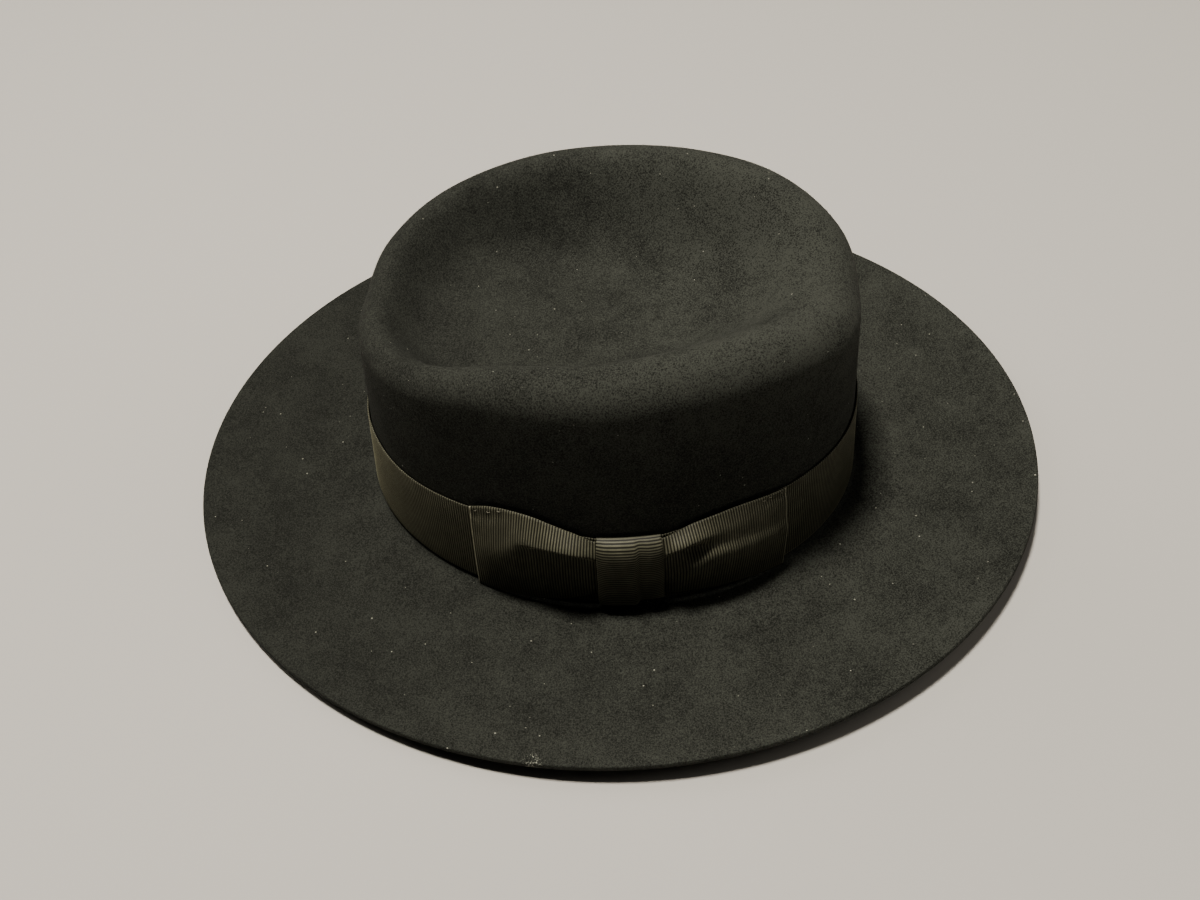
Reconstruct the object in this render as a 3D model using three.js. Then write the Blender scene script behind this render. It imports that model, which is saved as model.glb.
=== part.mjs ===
// Fur felt fedora: a teardrop crown and a wide flat brim of one felt body, a grosgrain
// band round the foot of the crown, a flat bow pinched by a knot on the wearer's left,
// and a leather sweatband inside the head opening.
//
// Millimetres, +Z up. The front of the hat is toward -Y and the bow is on the +X side.
// The origin lies on the resting plane under the middle of the head opening.

import * as THREE from "three";

// Head opening, measured inside the sweatband
const HEAD_LENGTH = 199;
const HEAD_WIDTH = 163.8;

// Walls, and the space left between two pieces that touch
const FELT = 2.2;
const LEATHER = 1;
const RIBBON = 0.8;
const SEAT = 0.3;

// Brim, measured outwards from the crown's foot, and how far its edge lifts off the rest plane
const BRIM_REACH_FRONT_BACK = 75;
const BRIM_REACH_SIDE = 76.6;
const BRIM_LIFT_FRONT = 1.6;
const BRIM_LIFT_SIDE = 6.9;
const BRIM_LIFT_BACK = 10;
const REST_RING_WIDTH = 17;
const BREAK_RADIUS = 2.8;
const LIFT_POWER = 1.6;

// Crown: height of its highest rim point, lean of its wall, roundness of its rim
const CROWN_HEIGHT = 110.6;
const WALL_LEAN = 8;
const RIM_RADIUS = 14;

// Dent: length over which the rim rolls in, height of its floor, rise of the floor from
// the middle to the back, and how far back its middle lies
const DENT_ROLL = 30;
const DENT_FLOOR = 79;
const DENT_RISE = 6;
const DENT_CENTRE = 6;

// Rim sections, evenly spaced from the front of the hat (first) to the back (last):
// height as a share of CROWN_HEIGHT, lean of WALL_LEAN, radius of RIM_RADIUS,
// roll of DENT_ROLL
const RIM_SECTIONS = [
  { height: 0.827, lean: 0.99, radius: 0.5, roll: 0.43 },
  { height: 0.845, lean: 0.51, radius: 0.51, roll: 0.43 },
  { height: 0.89, lean: 0.15, radius: 0.61, roll: 0.5 },
  { height: 0.959, lean: 0.55, radius: 0.82, roll: 0.64 },
  { height: 0.983, lean: 0.58, radius: 0.93, roll: 0.72 },
  { height: 1, lean: 0.65, radius: 0.93, roll: 0.8 },
  { height: 0.994, lean: 0.44, radius: 0.93, roll: 0.88 },
  { height: 0.947, lean: 0.24, radius: 0.96, roll: 0.97 },
  { height: 0.91, lean: 0.51, radius: 1, roll: 1 },
];

// Band and sweatband
const RIBBON_WIDTH = 40;
const SWEATBAND_WIDTH = 36;
const SWEATBAND_RISE = 2;

// How far the band's upper edge is drawn down behind the knot, and over what length
const BAND_DIP = 6.5;
const BAND_DIP_REACH = 28;

// Bow and knot, measured from front to back: the knot's front side lies behind the hat's
// middle by KNOT_SETBACK, and a wing reaches away from each side of the knot. The knot
// reaches from KNOT_RISE over the band's foot to KNOT_DROP under its top, and its lower
// edge steps up by as much as KNOT_STEP.
const KNOT_SETBACK = 1.1;
const KNOT_WIDTH = 24;
const FRONT_WING = 48.2;
const BACK_WING = 46;
const BOW_DEPTH = 5.4;
const KNOT_WALL = 1.1;
const KNOT_FOLD = 0.8;
const KNOT_DROP = 4.8;
const KNOT_RISE = 2.2;
const KNOT_STEP = 2.4;

// Bow sections from its front end to its back end. Each has its place along the bow and
// five points: lower edge, belly, crease, upper roll and upper edge. Their reach out is a
// share of BOW_DEPTH and their height a share of RIBBON_WIDTH.
const BOW_SECTIONS = [
  { at: 0, out: [0, 0.05, 0.06, 0.05, 0], up: [-0.06, 0.24, 0.5, 0.8, 1.05] },
  { at: 0.06, out: [0.03, 0.26, 0.42, 0.26, 0], up: [-0.05, 0.25, 0.56, 0.82, 1.12] },
  { at: 0.13, out: [0.07, 0.4, 0.66, 0.46, 0], up: [-0.02, 0.28, 0.64, 0.85, 1.14] },
  { at: 0.21, out: [0.12, 0.46, 0.58, 0.95, 0], up: [0.01, 0.34, 0.75, 0.88, 1.11] },
  { at: 0.28, out: [0.2, 0.48, 0.5, 1.15, 0], up: [0.05, 0.38, 0.77, 0.88, 1.03] },
  { at: 0.34, out: [0.28, 0.5, 0.46, 1.15, 0], up: [0.11, 0.4, 0.74, 0.84, 0.955] },
  { at: 0.385, out: [0.24, 0.48, 0.42, 0.75, 0], up: [0.16, 0.42, 0.66, 0.77, 0.88] },
  { at: 0.41, out: [0.14, 0.42, 0.4, 0.56, 0], up: [0.17, 0.42, 0.62, 0.72, 0.86] },
  { at: 0.61, out: [0.14, 0.42, 0.4, 0.56, 0], up: [0.13, 0.42, 0.62, 0.72, 0.855] },
  { at: 0.645, out: [0.28, 0.6, 0.22, 0.95, 0], up: [0.12, 0.43, 0.69, 0.8, 0.89] },
  { at: 0.7, out: [0.26, 0.96, 0.2, 0.95, 0], up: [0.1, 0.53, 0.71, 0.86, 0.97] },
  { at: 0.77, out: [0.2, 1, 0.62, 0.6, 0], up: [0.06, 0.57, 0.73, 0.88, 1.02] },
  { at: 0.87, out: [0.12, 0.8, 0.52, 0.34, 0], up: [0.01, 0.53, 0.71, 0.89, 1.055] },
  { at: 1, out: [0, 0.3, 0.18, 0.1, 0], up: [-0.06, 0.45, 0.65, 0.85, 1.02] },
];

// Knot sections across its width: how far each stands out, as a share of KNOT_FOLD, and
// how far its lower edge has stepped up, as a share of KNOT_STEP
const KNOT_SECTIONS = [
  { at: 0, stand: -0.6, step: 0.1 },
  { at: 0.12, stand: 0.6, step: 0 },
  { at: 0.35, stand: 1, step: 0 },
  { at: 0.58, stand: 0.8, step: 0.05 },
  { at: 0.64, stand: -0.5, step: 0.75 },
  { at: 0.8, stand: 0.2, step: 0.9 },
  { at: 0.92, stand: 0, step: 0.95 },
  { at: 1, stand: -0.8, step: 1 },
];

// Knot outline from behind the bow's lower edge, round its front and back behind its
// upper edge: reach out as a share of the way to the bow's front, height as a share of
// the knot's height, and direction of the ribbon's thickness in degrees
const KNOT_OUTLINE = [
  { out: 0, up: 0.01, lean: -90 },
  { out: 0.55, up: 0, lean: -82 },
  { out: 0.84, up: 0.05, lean: -45 },
  { out: 0.92, up: 0.15, lean: -12 },
  { out: 0.98, up: 0.45, lean: -4 },
  { out: 1, up: 0.79, lean: 6 },
  { out: 0.87, up: 0.92, lean: 42 },
  { out: 0.45, up: 0.985, lean: 72 },
  { out: 0, up: 1, lean: 90 },
];

// Facets
const AROUND = 72;
const BREAK_STEPS = 3;
const WALL_STEPS = 4;
const RIM_STEPS = 5;
const DENT_STEPS = 8;
const BRIM_STEPS = 4;
const BOW_STEPS = 36;
const BOW_ROWS = 16;
const KNOT_STEPS = 12;
const DENT_SPACING = 1.2;

// Sizes that follow
const FELT_INSIDE = SEAT + LEATHER;
const FOOT_LENGTH = HEAD_LENGTH / 2 + FELT_INSIDE + FELT;
const FOOT_WIDTH = HEAD_WIDTH / 2 + FELT_INSIDE + FELT;
const BAND_FOOT = FELT + BREAK_RADIUS;
const BAND_TOP = BAND_FOOT + RIBBON_WIDTH;
const BAND_OUT = SEAT + RIBBON;
const BOW_OUT = BAND_OUT + SEAT;
const QUARTER = Math.PI / 2;
const BOW_START = KNOT_SETBACK - FRONT_WING;
const BOW_END = KNOT_SETBACK + KNOT_WIDTH + BACK_WING;
const radians = THREE.MathUtils.degToRad;
const lerp = THREE.MathUtils.lerp;

// Smooth value between the middle two of four values, each given at its own place
function throughFour(places, values, at) {
  const span = places[2] - places[1];
  const f = (at - places[1]) / span;
  const leave = (span * (values[2] - values[0])) / (places[2] - places[0]);
  const arrive = (span * (values[3] - values[1])) / (places[3] - places[1]);
  const step = values[2] - values[1];
  const bend = 3 * step - 2 * leave - arrive;
  const twist = leave + arrive - 2 * step;
  return values[1] + leave * f + bend * f ** 2 + twist * f ** 3;
}

// Smooth value through a whole list of values at rising places
function throughList(places, values, at) {
  const last = places.length - 1;
  let row = 0;
  while (row < last - 1 && at > places[row + 1]) row += 1;
  const rows = [Math.max(row - 1, 0), row, row + 1, Math.min(row + 2, last)];
  return throughFour(rows.map((i) => places[i]), rows.map((i) => values[i]), at);
}

// Rim section at an angle from +X, the same on both sides of the hat
function rimSection(angle) {
  const last = RIM_SECTIONS.length - 1;
  const place = ((angle + QUARTER) / Math.PI) * last;
  const row = Math.floor(place);
  const rows = [row - 1, row, row + 1, row + 2];
  const mirrored = rows.map((i) => {
    const turned = ((i % (2 * last)) + 2 * last) % (2 * last);
    return RIM_SECTIONS[turned > last ? 2 * last - turned : turned];
  });
  const value = (key) => throughFour(rows, mirrored.map((section) => section[key]), place);
  const radius = RIM_RADIUS * value("radius");
  const lean = WALL_LEAN * value("lean");
  return {
    top: CROWN_HEIGHT * value("height"),
    lean,
    radius,
    roll: DENT_ROLL * value("roll"),
    inset: lean + radius,
  };
}

// Point beyond the crown's foot oval by a distance measured outwards
function footPoint(angle, out, z) {
  const x = (FOOT_WIDTH + out) * Math.cos(angle);
  const y = (FOOT_LENGTH + out) * Math.sin(angle);
  return new THREE.Vector3(x, y, z);
}

// Lean of the crown's wall at a height, as a distance inside the foot oval
function wallInset(angle, z) {
  const rim = rimSection(angle);
  const share = (z - BAND_FOOT) / (rim.top - rim.radius - BAND_FOOT);
  return rim.lean * Math.max(0, share);
}

// Point standing off the crown's wall
function wallPoint(angle, off, z) {
  return footPoint(angle, off - wallInset(angle, z), z);
}

// Reach and lift of the brim's edge
function brimReach(angle) {
  const side = Math.cos(angle) ** 2;
  return lerp(BRIM_REACH_FRONT_BACK, BRIM_REACH_SIDE, side);
}

function brimLift(angle) {
  const ends = (BRIM_LIFT_FRONT + BRIM_LIFT_BACK) / 2;
  const tip = (BRIM_LIFT_BACK - BRIM_LIFT_FRONT) / 2;
  const side = Math.cos(angle) ** 2;
  return lerp(ends, BRIM_LIFT_SIDE, side) + tip * Math.sin(angle);
}

// Height of the dent's floor under the rim
function dentFloor(y) {
  return DENT_FLOOR + (DENT_RISE * y) / FOOT_LENGTH;
}

// The felt's outer face at one angle, from the brim's edge to the middle of the dent.
// Each station has its distance out from the rim's crest, its height, and the tilt of
// its normal: 0 points outwards, a quarter turn points up.
function feltSection(angle) {
  const rim = rimSection(angle);
  const stations = [];
  const ringEnd = rim.inset + BREAK_RADIUS + REST_RING_WIDTH;
  const edge = rim.inset + brimReach(angle);
  const lift = brimLift(angle);
  for (let i = 0; i < BRIM_STEPS; i += 1) {
    const q = 1 - i / BRIM_STEPS;
    const slope = (lift * LIFT_POWER * q ** (LIFT_POWER - 1)) / (edge - ringEnd);
    stations.push({
      out: lerp(ringEnd, edge, q),
      z: FELT + lift * q ** LIFT_POWER,
      tilt: QUARTER + Math.atan(slope),
    });
  }
  stations.push({ out: ringEnd, z: FELT, tilt: QUARTER });
  const wallHeight = rim.top - rim.radius - BAND_FOOT;
  const wallTilt = Math.atan(rim.lean / wallHeight);
  for (let i = 0; i <= BREAK_STEPS; i += 1) {
    const tilt = lerp(QUARTER, 0, i / BREAK_STEPS);
    stations.push({
      out: rim.inset + BREAK_RADIUS * (1 - Math.cos(tilt)),
      z: BAND_FOOT - BREAK_RADIUS * Math.sin(tilt),
      tilt: Math.max(tilt, wallTilt),
    });
  }
  for (let i = 1; i < WALL_STEPS; i += 1) {
    const share = i / WALL_STEPS;
    stations.push({
      out: rim.inset - rim.lean * share,
      z: BAND_FOOT + wallHeight * share,
      tilt: wallTilt,
    });
  }
  for (let i = 0; i <= RIM_STEPS; i += 1) {
    const tilt = lerp(wallTilt, QUARTER, i / RIM_STEPS);
    stations.push({
      out: rim.radius * Math.cos(tilt),
      z: rim.top - rim.radius * (1 - Math.sin(tilt)),
      tilt,
    });
  }
  const crest = footPoint(angle, -rim.inset, 0);
  const length = Math.hypot(crest.x, crest.y - DENT_CENTRE);
  for (let i = 1; i < DENT_STEPS; i += 1) {
    const share = (i / DENT_STEPS) ** DENT_SPACING;
    const z = dentHeight(angle, share * length);
    const further = dentHeight(angle, share * length + 1);
    stations.push({ out: -share * length, z, tilt: QUARTER + Math.atan(z - further) });
  }
  return stations;
}

// Height of the dent's surface at a distance in from the rim's crest
function dentHeight(angle, inwards) {
  const rim = rimSection(angle);
  const crest = footPoint(angle, -rim.inset, 0);
  const length = Math.hypot(crest.x, crest.y - DENT_CENTRE);
  const share = inwards / length;
  const floor = dentFloor(lerp(crest.y, DENT_CENTRE, share));
  const hold = (1 - share ** 4) * Math.exp(-((inwards / rim.roll) ** 2));
  return lerp(floor, rim.top, hold);
}

// Place in space of a station: beyond the crest it lies off the foot oval, and inside
// the crest it lies on the line to the middle of the dent
function feltPoint(angle, out, z) {
  const rim = rimSection(angle);
  if (out >= 0) return footPoint(angle, out - rim.inset, z);
  const crest = footPoint(angle, -rim.inset, z);
  const length = Math.hypot(crest.x, crest.y - DENT_CENTRE);
  return crest.lerp(new THREE.Vector3(0, DENT_CENTRE, z), -out / length);
}

// Closed mesh from points and triangles
function meshGeometry(points, faces) {
  const geometry = new THREE.BufferGeometry();
  geometry.setAttribute(
    "position",
    new THREE.Float32BufferAttribute(points.flatMap((p) => [p.x, p.y, p.z]), 3),
  );
  geometry.setIndex(faces);
  geometry.computeVertexNormals();
  return geometry;
}

// Triangles of the quad a, b, c, d, seen anticlockwise from outside
function quad(a, b, c, d) {
  return [a, b, c, a, c, d];
}

// Solid ring from one closed outline for each angle, listed anticlockwise when the
// outside of the hat is to the right
function ringGeometry(outlineAt) {
  const points = [];
  const faces = [];
  let size = 0;
  for (let j = 0; j < AROUND; j += 1) {
    const outline = outlineAt(aroundAngle(j));
    size = outline.length;
    points.push(...outline);
  }
  for (let j = 0; j < AROUND; j += 1) {
    const here = j * size;
    const next = ((j + 1) % AROUND) * size;
    for (let i = 0; i < size; i += 1) {
      const up = (i + 1) % size;
      faces.push(...quad(here + i, next + i, next + up, here + up));
    }
  }
  return meshGeometry(points, faces);
}

// Solid panel between an outer and an inner grid of points, columns by rows. Columns run
// from the front of the hat to the back on its +X side, and rows run upwards.
function panelGeometry(columns) {
  const points = [];
  const faces = [];
  const rows = columns[0].length;
  for (const column of columns) {
    for (const pair of column) points.push(pair.outer, pair.inner);
  }
  const id = (c, r, inner) => 2 * (c * rows + r) + inner;
  const lastColumn = columns.length - 1;
  for (let c = 0; c < lastColumn; c += 1) {
    for (let r = 0; r < rows - 1; r += 1) {
      faces.push(...quad(id(c, r, 0), id(c + 1, r, 0), id(c + 1, r + 1, 0), id(c, r + 1, 0)));
      faces.push(...quad(id(c, r, 1), id(c, r + 1, 1), id(c + 1, r + 1, 1), id(c + 1, r, 1)));
    }
    const top = rows - 1;
    faces.push(...quad(id(c, 0, 1), id(c + 1, 0, 1), id(c + 1, 0, 0), id(c, 0, 0)));
    faces.push(...quad(id(c, top, 0), id(c + 1, top, 0), id(c + 1, top, 1), id(c, top, 1)));
  }
  for (let r = 0; r < rows - 1; r += 1) {
    faces.push(...quad(id(0, r, 1), id(0, r, 0), id(0, r + 1, 0), id(0, r + 1, 1)));
    const c = lastColumn;
    faces.push(...quad(id(c, r, 0), id(c, r, 1), id(c, r + 1, 1), id(c, r + 1, 0)));
  }
  return meshGeometry(points, faces);
}

// Angle of a facet corner, set so that a facet's middle lies at the front of the hat
function aroundAngle(index) {
  return ((index + 0.5) * 2 * Math.PI) / AROUND;
}

// Crown and brim, one felt wall folded from the brim's edge to the middle of the dent
function feltGeometry() {
  const points = [];
  const faces = [];
  let size = 0;
  for (let j = 0; j < AROUND; j += 1) {
    const angle = aroundAngle(j);
    const stations = feltSection(angle);
    size = stations.length;
    for (const { out, z } of stations) points.push(feltPoint(angle, out, z));
    for (const { out, z, tilt } of stations) {
      points.push(feltPoint(angle, out - FELT * Math.cos(tilt), z - FELT * Math.sin(tilt)));
    }
  }
  const floor = dentFloor(DENT_CENTRE);
  const outerPole = points.push(new THREE.Vector3(0, DENT_CENTRE, floor)) - 1;
  const innerPole = points.push(new THREE.Vector3(0, DENT_CENTRE, floor - FELT)) - 1;
  for (let j = 0; j < AROUND; j += 1) {
    const here = 2 * size * j;
    const next = 2 * size * ((j + 1) % AROUND);
    for (let i = 0; i < size - 1; i += 1) {
      faces.push(...quad(here + i, next + i, next + i + 1, here + i + 1));
      const a = here + size + i;
      const b = next + size + i;
      faces.push(...quad(b, a, a + 1, b + 1));
    }
    faces.push(here + size - 1, next + size - 1, outerPole);
    faces.push(next + 2 * size - 1, here + 2 * size - 1, innerPole);
    faces.push(...quad(here + size, next + size, next, here));
  }
  return meshGeometry(points, faces);
}

// Height of the band's upper edge, lowest behind the knot
function bandTop(angle) {
  if (Math.cos(angle) < 0) return BAND_TOP;
  const beside = FOOT_LENGTH * Math.sin(angle) - KNOT_SETBACK - KNOT_WIDTH / 2;
  return BAND_TOP - BAND_DIP * Math.exp(-((beside / BAND_DIP_REACH) ** 2));
}

// Ribbon laid round the foot of the crown
function bandGeometry() {
  return ringGeometry((angle) => {
    const top = bandTop(angle);
    return [
      wallPoint(angle, SEAT, BAND_FOOT),
      wallPoint(angle, BAND_OUT, BAND_FOOT),
      wallPoint(angle, BAND_OUT, top),
      wallPoint(angle, SEAT, top),
    ];
  });
}

// Leather band standing inside the head opening
function sweatbandGeometry() {
  const outside = -FELT - SEAT;
  const inside = outside - LEATHER;
  const top = SWEATBAND_RISE + SWEATBAND_WIDTH;
  return ringGeometry((angle) => [
    wallPoint(angle, inside, SWEATBAND_RISE),
    wallPoint(angle, outside, SWEATBAND_RISE),
    wallPoint(angle, outside, top),
    wallPoint(angle, inside, top),
  ]);
}

// Angle at which the crown's wall lies a distance behind the hat's middle
function angleBehind(y) {
  return Math.asin(y / FOOT_LENGTH);
}

// Outer face of the bow at a place along it and a share up its width
function bowFace(at, up) {
  const places = BOW_SECTIONS.map((section) => section.at);
  const steps = BOW_SECTIONS[0].up.map((value, i, all) => i / (all.length - 1));
  const read = (key) => {
    const points = steps.map((step, i) =>
      throughList(places, BOW_SECTIONS.map((section) => section[key][i]), at),
    );
    return throughList(steps, points, up);
  };
  return {
    off: BOW_OUT + RIBBON + BOW_DEPTH * Math.max(0, read("out")),
    z: BAND_FOOT + RIBBON_WIDTH * read("up"),
  };
}

// Flat ribbon bow, narrowed and folded toward the knot
function bowGeometry() {
  const columns = [];
  for (let c = 0; c <= BOW_STEPS; c += 1) {
    const at = c / BOW_STEPS;
    const angle = angleBehind(lerp(BOW_START, BOW_END, at));
    const column = [];
    for (let r = 0; r <= BOW_ROWS; r += 1) {
      const { off, z } = bowFace(at, r / BOW_ROWS);
      column.push({
        outer: wallPoint(angle, off, z),
        inner: wallPoint(angle, off - RIBBON, z),
      });
    }
    columns.push(column);
  }
  return panelGeometry(columns);
}

// Furthest that the bow stands off the wall under the knot
function bowUnderKnot() {
  const tries = [0, 0.25, 0.5, 0.75, 1];
  const offs = tries.flatMap((across) => {
    const at = (FRONT_WING + KNOT_WIDTH * across) / (BOW_END - BOW_START);
    return tries.map((up) => bowFace(at, up).off);
  });
  return Math.max(...offs);
}

// Ribbon folded round the bow's middle, in front of the band
function knotGeometry() {
  const low = BAND_FOOT + KNOT_RISE;
  const high = BAND_TOP - KNOT_DROP;
  const clear = bowUnderKnot() + SEAT;
  const places = KNOT_SECTIONS.map((section) => section.at);
  const read = (key, at) =>
    throughList(places, KNOT_SECTIONS.map((section) => section[key]), at);
  const columns = [];
  for (let c = 0; c <= KNOT_STEPS; c += 1) {
    const at = c / KNOT_STEPS;
    const stand = KNOT_FOLD * read("stand", at);
    const foot = low + KNOT_STEP * read("step", at);
    const angle = angleBehind(KNOT_SETBACK + KNOT_WIDTH * at);
    columns.push(
      KNOT_OUTLINE.map(({ out, up, lean }) => {
        const off = lerp(BOW_OUT, clear, out);
        const z = lerp(foot, high, up);
        const outwards = (KNOT_WALL + stand) * Math.cos(radians(lean));
        const upwards = KNOT_WALL * Math.sin(radians(lean));
        return {
          outer: wallPoint(angle, off + outwards, z + upwards),
          inner: wallPoint(angle, off, z),
        };
      }),
    );
  }
  return panelGeometry(columns);
}

// One named mesh with its own finish
function piece(name, geometry, color, roughness) {
  const material = new THREE.MeshStandardMaterial({ color, roughness, metalness: 0 });
  const mesh = new THREE.Mesh(geometry, material);
  mesh.name = name;
  return mesh;
}

const hat = new THREE.Group();
hat.add(
  piece("felt_body", feltGeometry(), 0x121214, 0.95),
  piece("ribbon_band", bandGeometry(), 0x1b1a15, 0.6),
  piece("bow", bowGeometry(), 0x1b1a15, 0.6),
  piece("bow_knot", knotGeometry(), 0x1b1a15, 0.6),
  piece("sweatband", sweatbandGeometry(), 0x2a1c14, 0.5),
);

export default hat;
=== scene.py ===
"""Looks of a black fur felt fedora: felt body with loose hairs, grosgrain band, bow, knot
and tack stitches, and a leather sweatband.

Metres, +Z up. The front of the hat is toward -Y and the bow is on the +X side. The
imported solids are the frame: every piece here stands where its solid stands and takes its
main sizes from it.
"""

import logging
import math
from dataclasses import dataclass
from enum import Enum
from typing import NamedTuple

import bpy
import numpy as np
from mathutils import Matrix, Vector


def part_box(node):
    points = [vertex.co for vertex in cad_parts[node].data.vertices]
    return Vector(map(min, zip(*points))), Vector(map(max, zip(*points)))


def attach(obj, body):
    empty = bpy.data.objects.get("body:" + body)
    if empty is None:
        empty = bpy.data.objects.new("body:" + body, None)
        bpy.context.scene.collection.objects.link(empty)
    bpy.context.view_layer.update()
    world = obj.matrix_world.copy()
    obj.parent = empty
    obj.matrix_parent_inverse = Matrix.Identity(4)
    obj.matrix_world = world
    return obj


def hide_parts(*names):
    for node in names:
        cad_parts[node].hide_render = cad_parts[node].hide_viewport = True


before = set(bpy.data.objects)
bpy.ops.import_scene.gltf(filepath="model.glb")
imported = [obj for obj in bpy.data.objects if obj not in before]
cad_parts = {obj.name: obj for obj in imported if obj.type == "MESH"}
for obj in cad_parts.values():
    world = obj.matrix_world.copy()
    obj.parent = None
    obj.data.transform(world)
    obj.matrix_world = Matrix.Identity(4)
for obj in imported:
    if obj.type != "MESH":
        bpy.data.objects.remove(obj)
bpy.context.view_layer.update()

LOG = logging.getLogger("fedora")
MM = 0.001
QUARTER = math.pi / 2
BODY = "root"
NOISE_SPAN = (0.3, 0.7)


class Slot(Enum):
    """Material slots of the record."""

    FELT = "felt"
    RIBBON = "ribbon"
    LEATHER = "leather"


class RimSection(NamedTuple):
    """Crown rim at one place, as shares of the named sizes of HatForm."""

    height: float
    lean: float
    radius: float
    roll: float


class BowSection(NamedTuple):
    """Bow at one place along it: reach out and height of its five lengthwise lines."""

    at: float
    out: tuple[float, ...]
    up: tuple[float, ...]


class KnotFold(NamedTuple):
    """How far the knot stands out at one place across it, and how far its foot steps up."""

    at: float
    stand: float
    step: float


class KnotTurn(NamedTuple):
    """One corner of the knot's outline from behind the bow's lower edge to its upper one."""

    out: float
    up: float
    lean: float


class Pucker(NamedTuple):
    """Dimple that a tack stitch pulls into the bow, at shares along and across it."""

    at: float
    up: float
    turn: float


def smooth_between(places: np.ndarray, values: np.ndarray, at: np.ndarray) -> np.ndarray:
    """Smooth curve through the middle two of four values, each at its own place.

    Args:
        places: Four rising places, along the last axis.
        values: The values there, along the last axis.
        at: Places between the second and the third.

    Returns:
        The value at each place.
    """
    span = places[..., 2] - places[..., 1]
    share = (at - places[..., 1]) / span
    step = values[..., 2] - values[..., 1]
    leave = span * (values[..., 2] - values[..., 0]) / (places[..., 2] - places[..., 0])
    arrive = span * (values[..., 3] - values[..., 1]) / (places[..., 3] - places[..., 1])
    bend = 3 * step - 2 * leave - arrive
    twist = leave + arrive - 2 * step
    return values[..., 1] + leave * share + bend * share**2 + twist * share**3


def smooth_through(places: np.ndarray, values: np.ndarray, at: np.ndarray) -> np.ndarray:
    """Smooth curve through a list of values.

    Args:
        places: Rising places of the values.
        values: One value for each place.
        at: Places to read.

    Returns:
        The value at each place read.
    """
    places, values, at = np.asarray(places, float), np.asarray(values, float), np.asarray(at, float)
    last = len(places) - 1
    row = np.clip(np.searchsorted(places, at, side="left") - 1, 0, last - 1)
    rows = np.stack([np.maximum(row - 1, 0), row, row + 1, np.minimum(row + 2, last)], axis=-1)
    return smooth_between(places[rows], values[rows], at)


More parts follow.
